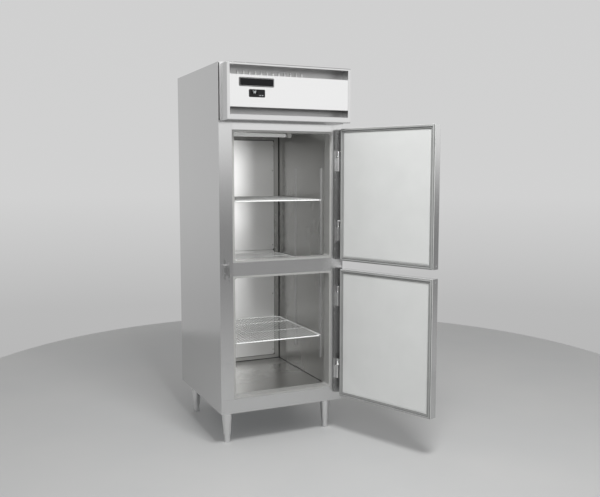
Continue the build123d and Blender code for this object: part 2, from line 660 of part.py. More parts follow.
def control_box():
    """Electrical box at the rear, with the gland that the supply cord comes in through."""
    x0, x1, y0, y1, z0, z1 = CONTROL_BOX
    case = box(x0, x1, y0, y1, DECK_Z, z1)
    case = fillet(case.edges().filter_by(Axis.Z), 3)
    case -= box(x0 + 3, x1 - 3, y0 + 3, y1 - 3, DECK_Z + 3, z1 - 3)
    gx, gz = (x0 + x1) / 2, z0 + 35
    case += Pos(gx, y1 + 2, gz) * Rot(90, 0, 0) * extrude(RegularPolygon(14, 6), 8)
    case += rod("Y", (gx, y1 + 8, gz), 10, 20)
    return case - rod("Y", (gx, y1 + 6, gz), GLAND_R, 30)


def refrigeration():
    nodes = {
        "compressor": compressor(),
        "condenser": condenser(),
        "fan_shroud": fan_shroud(),
        "condenser_fan": fan(FAN_X, FAN_Y, FAN_Z, FAN_R, 5, 4 + RUNNING, False),
        "refrigerant_lines": refrigerant_lines(),
        "control_box": control_box(),
    }
    nodes.update(evaporator())
    return nodes


def main():
    os.makedirs("parts", exist_ok=True)
    save_all(cabinet_shell())
    save_all(front_frame())
    save("breaker_upper", breaker_strip(UPPER_OPENING))
    save("breaker_lower", breaker_strip(LOWER_OPENING))
    save("cabinet_foam", cabinet_foam())
    save("liner", liner())
    save("duct_panels", duct_panels())
    save_all(shelving())
    save_all(lamp())
    all_hinges = [z for pair in HINGE_Z.values() for z in pair]
    save("hinge_frame_halves", group(*[hinge_frame_half(z) for z in all_hinges]))
    save("hinge_pins", group(*[hinge_pin(z) for z in all_hinges]))
    save("lock_strike", lock_strike())
    save("fasteners", fasteners())
    save_all(door("lower"))
    save_all(door("upper"))
    save_all(hood())
    save_all(legs())
    save_all(refrigeration())


main()
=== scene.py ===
import json
import math

import bmesh
import bpy
from mathutils import Matrix, Vector


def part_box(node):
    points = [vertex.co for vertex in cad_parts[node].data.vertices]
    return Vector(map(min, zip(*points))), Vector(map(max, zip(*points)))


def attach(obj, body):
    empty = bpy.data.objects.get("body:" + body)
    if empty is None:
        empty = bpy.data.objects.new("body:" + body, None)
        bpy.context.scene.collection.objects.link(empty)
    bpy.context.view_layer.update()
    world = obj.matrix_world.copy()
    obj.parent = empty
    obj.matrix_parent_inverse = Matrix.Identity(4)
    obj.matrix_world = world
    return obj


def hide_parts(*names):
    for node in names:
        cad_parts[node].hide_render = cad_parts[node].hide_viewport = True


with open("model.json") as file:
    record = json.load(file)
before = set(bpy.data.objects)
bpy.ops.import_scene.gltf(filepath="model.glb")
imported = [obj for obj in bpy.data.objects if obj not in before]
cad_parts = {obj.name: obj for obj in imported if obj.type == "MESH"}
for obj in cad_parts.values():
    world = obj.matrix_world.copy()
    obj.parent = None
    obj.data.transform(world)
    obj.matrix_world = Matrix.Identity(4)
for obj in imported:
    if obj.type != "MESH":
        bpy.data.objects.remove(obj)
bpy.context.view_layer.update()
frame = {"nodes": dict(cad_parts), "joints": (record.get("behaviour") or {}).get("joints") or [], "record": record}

# The reach-in refrigerator, +X to the right seen from the front, the front facing -Y, +Z up, in metres.
MM = 0.001
NODES = frame["nodes"]
JOINTS = {joint["name"]: joint for joint in frame["joints"]}
BODY_OF = {node: body for body, nodes in frame["record"]["behaviour"]["bodies"].items() for node in nodes}

FRONT_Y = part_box("bottom_rail")[0].y
DECK_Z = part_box("top_deck")[1].z


# ---------------------------------------------------------------- materials
class Shader:
    """A principled material with a few shortcuts for the nodes behind it."""

    def __init__(self, name, **sockets):
        self.material = bpy.data.materials.new(name)
        self.material.use_nodes = True
        self.tree = self.material.node_tree
        self.bsdf = self.tree.nodes["Principled BSDF"]
        for socket, value in sockets.items():
            self.bsdf.inputs[socket.replace("_", " ")].default_value = value
        self.place = self.tree.nodes.new("ShaderNodeTexCoord").outputs["Object"]

    def link(self, a, b):
        self.tree.links.new(a, b)

    def noise(self, size, stretch=(1, 1, 1), detail=4.0, rough=0.55):
        """Noise whose blotches are about size metres across, longer where stretch is above 1."""
        mapping = self.tree.nodes.new("ShaderNodeMapping")
        mapping.inputs["Scale"].default_value = [1 / s for s in stretch]
        self.link(self.place, mapping.inputs["Vector"])
        noise = self.tree.nodes.new("ShaderNodeTexNoise")
        noise.inputs["Scale"].default_value = 1 / size
        noise.inputs["Detail"].default_value = detail
        noise.inputs["Roughness"].default_value = rough
        self.link(mapping.outputs["Vector"], noise.inputs["Vector"])
        return noise.outputs["Fac"]

    def spread(self, value, low, high, start=0.3, end=0.7):
        """Maps a noise value to a range of numbers."""
        node = self.tree.nodes.new("ShaderNodeMapRange")
        for socket, number in (("From Min", start), ("From Max", end), ("To Min", low), ("To Max", high)):
            node.inputs[socket].default_value = number
        self.link(value, node.inputs["Value"])
        return node.outputs["Result"]

    def ramp(self, value, *stops):
        """Colours along a value; a stop is (position, red, green, blue) or (position, grey)."""
        node = self.tree.nodes.new("ShaderNodeValToRGB")
        elements = node.color_ramp.elements
        while len(elements) < len(stops):
            elements.new(0.5)
        for element, stop in zip(elements, stops):
            element.position = stop[0]
            element.color = (*(stop[1:] if len(stop) == 4 else stop[1:] * 3), 1.0)
        self.link(value, node.inputs["Fac"])
        return node.outputs["Color"]

    def maths(self, kind, a, b):
        node = self.tree.nodes.new("ShaderNodeMath")
        node.operation = kind
        for socket, value in zip(node.inputs, (a, b)):
            if isinstance(value, (int, float)):
                socket.default_value = value
            else:
                self.link(value, socket)
        return node.outputs["Value"]

    def drive(self, socket, value):
        self.link(value, self.bsdf.inputs[socket])

    def bump(self, height, distance, strength=1.0):
        node = self.tree.nodes.new("ShaderNodeBump")
        node.inputs["Distance"].default_value = distance
        node.inputs["Strength"].default_value = strength
        self.link(height, node.inputs["Height"])
        self.link(node.outputs["Normal"], self.bsdf.inputs["Normal"])


GRAIN = {"X": (60, 1, 1), "Z": (1, 1, 60)}


def brushed_steel(name, grain, grey=0.62, rough=0.30, tint=0.0, smudge=0.015, lines=0.005, blur=0.3):
    """Sheet steel brushed along one axis, with faint wiping marks. Blur stretches its reflections."""
    steel = Shader(name, Metallic=1.0, Anisotropic=blur)
    if blur and grain != "Z":
        steel.bsdf.inputs["Anisotropic Rotation"].default_value = 0.25
    tangent = steel.tree.nodes.new("ShaderNodeTangent")
    tangent.direction_type = "RADIAL"
    tangent.axis = "Z"
    steel.link(tangent.outputs["Tangent"], steel.bsdf.inputs["Tangent"])
    hair = steel.noise(0.9 * MM, GRAIN[grain], detail=2.0)
    cloud = steel.noise(0.45, (1, 1, 1.6), detail=3.0)
    tone = steel.maths("ADD", steel.maths("MULTIPLY", hair, 0.5), steel.maths("MULTIPLY", cloud, 0.5))
    low, high = grey * (1 - lines), grey * (1 + lines)
    steel.drive("Base Color", steel.ramp(tone, (0.3, low + tint, low + tint * 0.8, low - tint),
                                         (0.7, high + tint, high + tint * 0.8, high - tint)))
    steel.drive("Roughness", steel.maths("ADD", steel.spread(hair, rough - lines, rough + lines),
                                         steel.spread(cloud, -smudge, smudge)))
    return steel.material


def galvanised():
    zinc = Shader("zinc coated sheet", Metallic=1.0)
    cells = zinc.tree.nodes.new("ShaderNodeTexVoronoi")
    cells.inputs["Scale"].default_value = 90
    zinc.link(zinc.place, cells.inputs["Vector"])
    split = zinc.tree.nodes.new("ShaderNodeSeparateColor")
    zinc.link(cells.outputs["Color"], split.inputs["Color"])
    zinc.drive("Base Color", zinc.ramp(split.outputs["Red"], (0.0, 0.40, 0.42, 0.44),
                                       (1.0, 0.58, 0.60, 0.62)))
    zinc.drive("Roughness", zinc.spread(split.outputs["Green"], 0.38, 0.58, 0.0, 1.0))
    return zinc.material


def moulded(name, colour, rough, grain=0.5 * MM, spread=0.05, **sockets):
    """Moulded plastic, rubber or paint: a fine grain, and colour that drifts a little."""
    plastic = Shader(name, **sockets)
    cloud = plastic.noise(0.12, detail=3.0)
    low = [c * (1 - spread) for c in colour]
    high = [min(1.0, c * (1 + spread)) for c in colour]
    plastic.drive("Base Color", plastic.ramp(cloud, (0.3, *low), (0.7, *high)))
    fine = plastic.noise(grain, detail=2.0)
    plastic.drive("Roughness", plastic.spread(fine, rough - 0.06, rough + 0.06))
    plastic.bump(fine, 0.06 * MM, 0.35)
    return plastic.material


def plated(name, grey, rough, tint=(1.0, 1.0, 1.0)):
    """Plated or bare metal of small parts, with fine scratches."""
    metal = Shader(name, Metallic=1.0)
    scratch = metal.noise(1.2 * MM, (1, 1, 12), detail=4.0)
    metal.drive("Base Color", metal.ramp(scratch, (0.3, *[grey * 0.88 * t for t in tint]),
                                         (0.7, *[min(1.0, grey * 1.08 * t) for t in tint])))
    metal.drive("Roughness", metal.spread(scratch, rough - 0.07, rough + 0.09))
    metal.bump(scratch, 0.02 * MM, 0.4)
    return metal.material


def glowing(name, colour, strength):
    """Lit segments, a little uneven."""
    light = Shader(name, Roughness=0.4)
    cloud = light.noise(1.5 * MM)
    tone = light.ramp(cloud, (0.3, *[c * 0.85 for c in colour]), (0.7, *colour))
    light.drive("Base Color", tone)
    light.drive("Emission Color", tone)
    light.bsdf.inputs["Emission Strength"].default_value = strength
    return light.material


MATERIALS = {
    "steel_upright": brushed_steel("brushed steel, upright grain", "Z", rough=0.18, blur=0.15),
    "steel_across": brushed_steel("brushed steel, grain across", "X", grey=0.62, rough=0.22, blur=0.0),
    "header_steel": brushed_steel("header steel", "X", grey=0.62, rough=0.15, smudge=0.01, blur=0.0),
    # The liner and its duct panels share one stainless finish. The liner walls get a darker grey as painted shade.
    # The duct panels, and the ceiling grille that uses their steel, get a lighter grey as painted light.
    "liner_steel_painted_shade": brushed_steel("liner steel, darkened for painted shade", "Z", grey=0.50, rough=0.28, tint=0.006,
                                 smudge=0.03, blur=0.0),
    "duct_steel_painted_light": brushed_steel("duct panel steel, lightened for painted light", "Z", grey=0.82, rough=0.36, tint=0.004,
                                smudge=0.03, blur=0.0),
    "hood_steel": brushed_steel("hood steel", "X", grey=0.72, rough=0.14, smudge=0.01, blur=0.0),
    "hood_frame_steel": brushed_steel("hood frame steel", "X", grey=0.60, rough=0.15, blur=0.0),
    "zinc": galvanised(),
    "rim": moulded("breaker strip plastic", (0.36, 0.36, 0.35), 0.24),
    "foam": moulded("insulation foam", (0.78, 0.66, 0.40), 0.85, 2.5 * MM, 0.12),
    "zinc_strip": plated("shelf standard zinc", 0.62, 0.34),
    "shelf": moulded("shelf coating", (0.93, 0.94, 0.93), 0.20, Coat_Weight=0.5),
    "lamp_body": moulded("lamp socket plastic", (0.80, 0.80, 0.78), 0.40),
    "lamp_glass": glowing("lamp tube coating", (0.88, 0.89, 0.88), 0.22),
    "hinge": plated("hinge plating", 0.72, 0.16),
    "bright": plated("polished hardware", 0.78, 0.20),
    "door_lining": moulded("door lining", (0.68, 0.69, 0.68), 0.30, 0.8 * MM, 0.02),
    "gasket": moulded("gasket vinyl", (0.33, 0.335, 0.33), 0.36),
    "black_plate": moulded("black plate enamel", (0.006, 0.006, 0.007), 0.30, Specular_IOR_Level=0.15),
    "black_plastic": moulded("black plastic", (0.008, 0.008, 0.009), 0.40, Specular_IOR_Level=0.2),
    "key_plastic": moulded("key plastic", (0.10, 0.10, 0.11), 0.42),
    "compressor": moulded("compressor enamel", (0.022, 0.022, 0.024), 0.28),
    "fins": plated("aluminium fins", 0.74, 0.34),
    "fan_plastic": moulded("fan blade plastic", (0.09, 0.09, 0.10), 0.45),
    "copper": plated("copper tube", 0.86, 0.30, (1.0, 0.56, 0.38)),
    "housing": moulded("evaporator housing skin", (0.70, 0.71, 0.72), 0.46),
    "control_paint": moulded("control box paint", (0.40, 0.41, 0.42), 0.48),
    "leg_metal": brushed_steel("leg steel", "Z", grey=0.72, rough=0.30),
    "baffle": brushed_steel("baffle steel", "X", grey=0.56, rough=0.40, blur=0.0),
    # Louvres are pressed from the baffle sheet but get a far lighter metal: a painted highlight on them.
    "louvre_painted_highlight": plated("louvre edges, painted highlight", 0.92, 0.30),
    "window": moulded("smoked window", (0.005, 0.005, 0.006), 0.12, Specular_IOR_Level=0.2),
    # Near-black strips that paint shade into the gasket's creases and the liner's joints and corners.
    "painted_shade": moulded("painted shade strips", (0.035, 0.035, 0.035), 0.45),
    "digits": glowing("display segments", (0.80, 0.84, 0.86), 0.9),
}

NODE_MATERIAL = {
    "side_panel_left": "steel_upright", "side_panel_right": "steel_upright",
    "stile_left": "steel_upright", "stile_right": "steel_upright",
    "header_rail": "header_steel", "mullion_cover": "steel_across", "bottom_rail": "steel_across",
    "back_panel": "zinc", "bottom_panel": "zinc", "top_deck": "zinc",
    "breaker_upper": "rim", "breaker_lower": "rim", "cabinet_foam": "foam",
    "liner": "liner_steel_painted_shade", "duct_panels": "duct_steel_painted_light",
    "pilasters": "zinc_strip", "shelf_clips": "zinc_strip",
    "shelf_lower": "shelf", "shelf_middle": "shelf", "shelf_upper": "shelf",
    "lamp_fixture": "lamp_body", "lamp_tube": "lamp_glass",
    "hinge_frame_halves": "hinge", "hinge_pins": "hinge",
    "lock_strike": "steel_upright", "fasteners": "bright",
    "hood_shell": "hood_frame_steel", "hood_panel": "hood_steel",
    "name_plate": "black_plate", "controller": "black_plastic",
    "key_down": "key_plastic", "key_up": "key_plastic",
    "leg_sleeves": "leg_metal", "foot_fl": "leg_metal", "foot_fr": "leg_metal",
    "foot_rl": "leg_metal", "foot_rr": "leg_metal",
    "compressor": "compressor", "condenser": "fins", "evaporator_coil": "fins",
    "fan_shroud": "zinc", "condenser_fan": "fan_plastic", "evaporator_fan": "fan_plastic",
    "refrigerant_lines": "copper", "control_box": "control_paint", "evaporator_housing": "housing",
}
for door in ("upper", "lower"):
    NODE_MATERIAL.update({
        f"door_{door}_skin": "steel_upright", f"door_{door}_pan": "door_lining",
        f"door_{door}_gasket": "gasket", f"door_{door}_handle": "bright",
        f"door_{door}_hinge_halves": "hinge", f"door_{door}_lock_cylinder": "bright",
        f"door_{door}_lock_bolt": "bright",
    })


def paint(piece, material):
    piece.data.materials.clear()
    piece.data.materials.append(MATERIALS[material])


for node, material in NODE_MATERIAL.items():
    paint(NODES[node], material)


# ---------------------------------------------------------------- mesh helpers
def finish_mesh(name, bm, body, material, replaces=(), smooth=35):
    """Turns a bmesh into a piece that rides on a body."""
    mesh = bpy.data.meshes.new(name)
    bmesh.ops.recalc_face_normals(bm, faces=bm.faces)
    bm.to_mesh(mesh)
    bm.free()
    piece = bpy.data.objects.new(name, mesh)
    bpy.context.scene.collection.objects.link(piece)
    mesh.shade_smooth()
    mesh.set_sharp_from_angle(angle=math.radians(smooth))
    mesh.materials.append(MATERIALS[material])
    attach(piece, body)
    if replaces:
        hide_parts(*replaces)
    return piece


def softened(node, name, width, segments=2, angle=40):
    """The node's own shape with its sharp edges rounded, as folded or moulded edges are."""
    bm = bmesh.new()
    bm.from_mesh(NODES[node].data)
    bmesh.ops.remove_doubles(bm, verts=bm.verts, dist=0.01 * MM)
    bmesh.ops.dissolve_limit(bm, angle_limit=math.radians(1.0), verts=bm.verts, edges=bm.edges)
    limit = math.radians(angle)
    edges = [e for e in bm.edges if len(e.link_faces) == 2 and e.calc_face_angle() > limit]
    bmesh.ops.bevel(bm, geom=edges, offset=width, segments=segments, profile=0.5, affect="EDGES",
                    clamp_overlap=True)
    piece = finish_mesh(name, bm, BODY_OF[node], NODE_MATERIAL[node], (node,), smooth=30)
    even = piece.modifiers.new("flat faces stay flat", "WEIGHTED_NORMAL")
    even.mode = "FACE_AREA"
    even.weight = 100
    even.keep_sharp = True
    return piece


# ---------------------------------------------------------------- studio
# Grey of the studio walls against the sine of the elevation.
WALL_BEHIND = ((-1.0, 0.42), (-0.25, 0.47), (-0.17, 0.49), (-0.10, 0.57), (-0.03, 0.64), (0.25, 0.63),
               (0.40, 0.42), (1.0, 0.36))
WALL_AHEAD = ((-1.0, 0.45), (-0.28, 0.62), (-0.19, 0.46), (-0.13, 0.26), (-0.045, 0.22), (-0.005, 0.55),
              (0.03, 1.12), (0.06, 1.22), (0.25, 1.1), (0.45, 0.5), (1.0, 0.36))

# The fill light reaches only these nodes and pieces.
INSIDE_NODES = ("shelf_lower", "shelf_middle", "shelf_upper", "pilasters", "shelf_clips", "fasteners")
INSIDE_PIECES = ("duct_trays",)

FLOOR_RADIUS = 2.55
FLOOR_CENTRE = (0.58, 0.56, 0.0)


CAMERA_LENS = 44.92
CAMERA_PLACE = (-1.5961, -4.1001, 1.4759)
CAMERA_YAW = 0.4279
CAMERA_PITCH = -0.1011


def build_camera():
    """A lens of about 45 mm on a 36 mm sensor, 1.48 m up, ahead of and to the left of the cabinet."""
    data = bpy.data.cameras.new("camera")
    data.sensor_width = 36.0
    data.lens = CAMERA_LENS
    camera = bpy.data.objects.new("camera", data)
    bpy.context.scene.collection.objects.link(camera)
    camera.location = CAMERA_PLACE
    camera.rotation_euler = (math.pi / 2 + CAMERA_PITCH, 0.0, -CAMERA_YAW)
    bpy.context.scene.camera = camera


def build_floor():
    """A round studio floor, larger than the object, a little behind it."""
    bm = bmesh.new()
    bmesh.ops.create_circle(bm, cap_ends=True, segments=256, radius=FLOOR_RADIUS)
    mesh = bpy.data.meshes.new("floor")
    bm.to_mesh(mesh)
    bm.free()
    floor = bpy.data.objects.new("floor", mesh)
    bpy.context.scene.collection.objects.link(floor)
    floor.location = FLOOR_CENTRE
    ground = Shader("studio floor", Roughness=0.55)
    cloud = ground.noise(0.9, detail=3.0)
    ground.drive("Base Color", ground.ramp(cloud, (0.3, 0.55, 0.555, 0.555), (0.7, 0.58, 0.58, 0.575)))
    mesh.materials.append(ground.material)


def sky_ramp(tree, height, stops):
    """Grey against the sine of the elevation."""
    spread = tree.nodes.new("ShaderNodeMapRange")
    spread.inputs["From Min"].default_value = -1.0
    spread.inputs["From Max"].default_value = 1.0
    tree.links.new(height, spread.inputs["Value"])
    ramp = tree.nodes.new("ShaderNodeValToRGB")
    elements = ramp.color_ramp.elements
    while len(elements) < len(stops):
        elements.new(0.5)
    for element, (sine, grey) in zip(elements, stops):
        element.position = (sine + 1) / 2
        element.color = (grey, grey, grey, 1.0)
    tree.links.new(spread.outputs["Result"], ramp.inputs["Fac"])
    return ramp.outputs["Color"]


def build_world():
    """Studio walls: even and pale as seen, while the steel also mirrors a dark band low in front of it."""
    world = bpy.data.worlds.new("studio")
    bpy.context.scene.world = world
    world.use_nodes = True
    tree = world.node_tree
    background = tree.nodes["Background"]
    place = tree.nodes.new("ShaderNodeTexCoord")
    split = tree.nodes.new("ShaderNodeSeparateXYZ")
    tree.links.new(place.outputs["Generated"], split.inputs["Vector"])
    behind = sky_ramp(tree, split.outputs["Z"], WALL_BEHIND)
    ahead = sky_ramp(tree, split.outputs["Z"], WALL_AHEAD)
    side = tree.nodes.new("ShaderNodeMapRange")
    side.interpolation_type = "SMOOTHSTEP"
    side.inputs["From Min"].default_value = -0.25
    side.inputs["From Max"].default_value = 0.10
    tree.links.new(split.outputs["Y"], side.inputs["Value"])
    mix = tree.nodes.new("ShaderNodeMix")
    mix.data_type = "RGBA"
    seen = tree.nodes.new("ShaderNodeLightPath")
    plain = tree.nodes.new("ShaderNodeMath")
    plain.operation = "MAXIMUM"
    tree.links.new(side.outputs["Result"], plain.inputs[0])
    tree.links.new(seen.outputs["Is Camera Ray"], plain.inputs[1])
    tree.links.new(plain.outputs["Value"], mix.inputs["Factor"])
    tree.links.new(ahead, mix.inputs[6])
    tree.links.new(behind, mix.inputs[7])
    tree.links.new(mix.outputs[2], background.inputs["Color"])
    background.inputs["Strength"].default_value = 1.0


def softbox(name, place, target, size, power, colour=(1.0, 1.0, 1.0)):
    data = bpy.data.lights.new(name, "AREA")
    data.shape = "RECTANGLE"
    data.size, data.size_y = size
    data.energy = power
    data.color = colour
    lamp = bpy.data.objects.new(name, data)
    bpy.context.scene.collection.objects.link(lamp)
    lamp.location = place
    lamp.rotation_euler = (Vector(target) - Vector(place)).to_track_quat("-Z", "Y").to_euler()
    lamp.visible_camera = False
    return lamp


def build_studio():
    bpy.context.scene.view_settings.view_transform = "Standard"
    build_camera()
    build_floor()
    build_world()
    softbox("overhead", (-0.1, -2.4, 3.8), (0.2, -0.7, 0.8), (1.1, 0.9), 92)
    softbox("front left", (-2.4, -3.6, 3.2), (0.0, 0.0, 1.2), (1.6, 1.6), 14)
    inside = softbox("inside fill", (1.15, -2.6, 1.3), (0.0, 0.33, 1.3), (0.7, 1.9), 13)
    lit = bpy.data.collections.new("lit by the inside fill")
    for piece in [NODES[node] for node in INSIDE_NODES] + [bpy.data.objects[name] for name in INSIDE_PIECES]:
        lit.objects.link(piece)
    inside.light_linking.receiver_collection = lit


# ---------------------------------------------------------------- pieces
def bridge(bm, a, b):
    """Faces between two closed rings with as many vertices each."""
    for k in range(len(a)):
        after = (k + 1) % len(a)
        bm.faces.new((a[k], a[after], b[after], b[k]))


def add_box(bm, low, high, width=0.0, segments=2):
    """A block between two corners, with its edges rounded by width."""
    size = [h - l for l, h in zip(low, high)]
    made = bmesh.ops.create_cube(bm, size=1.0)
    verts = made["verts"]
    bmesh.ops.scale(bm, vec=size, verts=verts)
    bmesh.ops.translate(bm, vec=[(l + h) / 2 for l, h in zip(low, high)], verts=verts)
    if width:
        edges = list({e for v in verts for e in v.link_edges})
        bmesh.ops.bevel(bm, geom=edges, offset=width, segments=segments, profile=0.5, affect="EDGES")


def add_rod(bm, start, end, radius, end_radius=None, segments=24):
    """A round bar or cone from start to end."""
    start, end = Vector(start), Vector(end)
    axis = end - start
    turn = axis.to_track_quat("Z", "Y").to_matrix().to_4x4()
    bmesh.ops.create_cone(bm, cap_ends=True, segments=segments, radius1=radius,
                          radius2=radius if end_radius is None else end_radius, depth=axis.length,
                          matrix=Matrix.Translation((start + end) / 2) @ turn)


def add_tube(bm, points, radius, segments=12):
    """A round tube through points, with one ring at each."""
    points = [Vector(p) for p in points]
    side = None
    rings = []
    for i, point in enumerate(points):
        along = (points[min(i + 1, len(points) - 1)] - points[max(i - 1, 0)]).normalized()
        if side is None:
            side = along.orthogonal().normalized()
        side = (side - side.project(along)).normalized()
        other = along.cross(side)
        turns = [2 * math.pi * k / segments for k in range(segments)]
        rings.append([bm.verts.new(point + radius * (math.cos(t) * side + math.sin(t) * other))
                      for t in turns])
    for a, b in zip(rings, rings[1:]):
        bridge(bm, a, b)
    bm.faces.new(rings[0][::-1])
    bm.faces.new(rings[-1])


# Rings of a domed screw head: share of its radius, and height as a share of its radius.
HEAD_RINGS = ((1.0, 0.0), (1.0, 0.25), (0.86, 0.5), (0.55, 0.66), (0.30, 0.70))
HEAD_RECESS = (0.25, 0.35)
HEAD_SIDES = 16


def add_pan_head(bm, centre, out, radius):
    """A low domed screw head on a face, with a round recess; out points away from the face."""
    centre, out = Vector(centre), Vector(out).normalized()
    place = Matrix.Translation(centre) @ out.to_track_quat("Z", "Y").to_matrix().to_4x4()
    turns = [2 * math.pi * k / HEAD_SIDES for k in range(HEAD_SIDES)]
    rings = []
    for share, rise in (*HEAD_RINGS, HEAD_RECESS):
        around = [(radius * share * math.cos(t), radius * share * math.sin(t)) for t in turns]
        points = [Vector((x, y, radius * rise)) for x, y in around]
        rings.append([bm.verts.new(place @ point) for point in points])
    for a, b in zip(rings, rings[1:]):
        bridge(bm, a, b)
    bm.faces.new(rings[-1])
    bm.faces.new(rings[0][::-1])


def add_strips(bm, corners, wide, rise):
    """A flat ring of strips through the corners of an upright rectangle, raised forward from y."""
    (x0, y, z0), (x1, _, z1) = corners
    for a, b in (((x0 - wide, z0 - wide), (x1 + wide, z0)), ((x0 - wide, z1), (x1 + wide, z1 + wide)),
                 ((x0 - wide, z0), (x0, z1)), ((x1, z0), (x1 + wide, z1))):
        add_box(bm, (a[0], y - rise, a[1]), (b[0], y, b[1]))


# Folded sheets and mouldings keep their CAD shape and get rounded edges. node: (piece, width in mm, slot).
ROUNDED = {
    "side_panel_left": ("left_side_sheet", 0.7, "stainless_outer"),
    "side_panel_right": ("right_side_sheet", 0.7, "stainless_outer"),
    "stile_left": ("left_stile_sheet", 0.5, "stainless_outer"),
    "stile_right": ("right_stile_sheet", 0.5, "stainless_outer"),
    "header_rail": ("header_sheet", 0.5, "stainless_outer"),
    "mullion_cover": ("mullion_sheet", 0.7, "stainless_outer"),
    "bottom_rail": ("bottom_sheet", 0.5, "stainless_outer"),
    "breaker_upper": ("upper_rim_moulding", 2.6, "rim_plastic"),
    "breaker_lower": ("lower_rim_moulding", 2.6, "rim_plastic"),
    "duct_panels": ("duct_trays", 0.6, "stainless_liner"),
    "hood_panel": ("hood_front_sheet", 0.6, "stainless_outer"),
    "hood_shell": ("hood_sheet", 0.6, "stainless_outer"),
    "lock_strike": ("strike_bracket", 0.6, "stainless_outer"),
    "leg_sleeves": ("leg_castings", 0.8, "leg_metal"),
    "lamp_fixture": ("lamp_sockets", 1.0, "lamp_body"),
    "hinge_frame_halves": ("hinge_leaves_frame", 1.4, "bright_hardware"),
    "door_upper_hinge_halves": ("hinge_leaves_upper_door", 1.4, "bright_hardware"),
    "door_lower_hinge_halves": ("hinge_leaves_lower_door", 1.4, "bright_hardware"),
    "door_upper_skin": ("upper_door_shell", 0.8, "stainless_outer"),
    "door_lower_skin": ("lower_door_shell", 0.8, "stainless_outer"),
    "door_upper_pan": ("upper_door_lining", 1.0, "door_lining"),
    "door_lower_pan": ("lower_door_lining", 1.0, "door_lining"),
    "door_upper_handle": ("upper_pull", 1.4, "bright_hardware"),
    "door_lower_handle": ("lower_pull", 1.4, "bright_hardware"),
    "control_box": ("control_case", 1.2, "control_paint"),
    "controller": ("controller_case", 0.8, "black_plastic"),
    "key_down": ("down_key_cap", 0.5, "key_plastic"),
    "key_up": ("up_key_cap", 0.5, "key_plastic"),
    "foot_fl": ("foot_front_left", 1.0, "leg_metal"),
    "foot_fr": ("foot_front_right", 1.0, "leg_metal"),
    "foot_rl": ("foot_rear_left", 1.0, "leg_metal"),
    "foot_rr": ("foot_rear_right", 1.0, "leg_metal"),
}


def build_rounded():
    for node, (piece, width, slot) in ROUNDED.items():
        softened(node, piece, width * MM)


# ---- doors: pieces are built in the closed door and swung open about the pin ----
def door_swing(door):
    joint = JOINTS[f"door_{door}_hinge"]
    pin = Matrix.Translation(joint["pos_m"])
    return pin @ Matrix.Rotation(math.radians(-joint["range_deg"][0]), 4, "Z") @ pin.inverted()


def closed_box(node, door):
    """The node's corners with its door shut."""
    back = door_swing(door).inverted()
    places = [back @ v.co for v in NODES[node].data.vertices]
    return (Vector([min(p[i] for p in places) for i in range(3)]),
            Vector([max(p[i] for p in places) for i in range(3)]))


# Gasket section in mm: distance in from its outer edge and height above the door.
GASKET_OUTER_EDGE = ((0.0, 0.0), (0.0, 1.4), (0.9, 2.0), (1.8, 2.1))
GASKET_INNER_EDGE = ((19.4, 1.5), (20.0, 0.9), (20.0, 0.0))
# Centre, half width, height of its middle, and how tall its half is against its half width.
GASKET_BEADS = ((6.2, 4.4, 5.0, 0.95), (15.4, 2.6, 3.4, 0.8))
GASKET_VALLEY = (1.0, 1.9)       # distance past a bead and height
# Inset and width of the dark lines beside the beads: painted shade in the gasket's creases and along its edges.
GASKET_SHADE_LINES = ((0.2, 1.4), (11.0, 1.6), (18.6, 1.2))
SHADE_LINE_FACE = 2.5      # past the gasket's lowest y
SHADE_LINE_RISE = 1.2


def gasket_profile():
    points = list(GASKET_OUTER_EDGE)
    for centre, half, middle, stretch in GASKET_BEADS:
        for k in range(9):
            turn = math.radians(205 - 230 * k / 8)
            points.append((centre + half * math.cos(turn), middle + half * stretch * math.sin(turn)))
        points.append((centre + half + GASKET_VALLEY[0], GASKET_VALLEY[1]))
    return points + list(GASKET_INNER_EDGE)


def build_gasket(door):
    """Vinyl gasket with a magnet bead and a small bead, mitred at its corners, with dark strips of painted shade
    in its creases.
    """
    low, high = closed_box(f"door_{door}_gasket", door)
    bm = bmesh.new()
    loops = []
    for inward, height in gasket_profile():
        inward, y = inward * MM, low.y + height * MM
        corners = ((low.x + inward, low.z + inward), (high.x - inward, low.z + inward),
                   (high.x - inward, high.z - inward), (low.x + inward, high.z - inward))
        loops.append([bm.verts.new((x, y, z)) for x, z in corners])
    for a, b in zip(loops, loops[1:] + loops[:1]):
        bridge(bm, a, b)
    # Dark strips in the creases and along the edges of the gasket: painted shade.
    crease_shade = bmesh.new()
    y = low.y + SHADE_LINE_FACE * MM
    for inset, wide in GASKET_SHADE_LINES:
        inset, wide = inset * MM, wide * MM
        add_strips(crease_shade, ((low.x + inset + wide, y, low.z + inset + wide),
                             (high.x - inset - wide, y, high.z - inset - wide)), wide, SHADE_LINE_RISE * MM)
    crease_shade.transform(door_swing(door))
    finish_mesh(f"{door}_gasket_crease_shade", crease_shade, f"door_{door}", "painted_shade")
    bm.transform(door_swing(door))
    finish_mesh(f"{door}_gasket_beads", bm, f"door_{door}", "gasket",
                (f"door_{door}_gasket",), smooth=50)


# ---- hood ----
LOUVRES = 12
LOUVRE_GAP = 33 * MM
LOUVRE_START = 92 * MM
LOUVRE_SIZE = (8 * MM, 9 * MM, 26 * MM)      # wide, proud of the baffle, tall
LOUVRE_LIFT = 4 * MM
BAFFLE_Y = FRONT_Y - 14 * MM


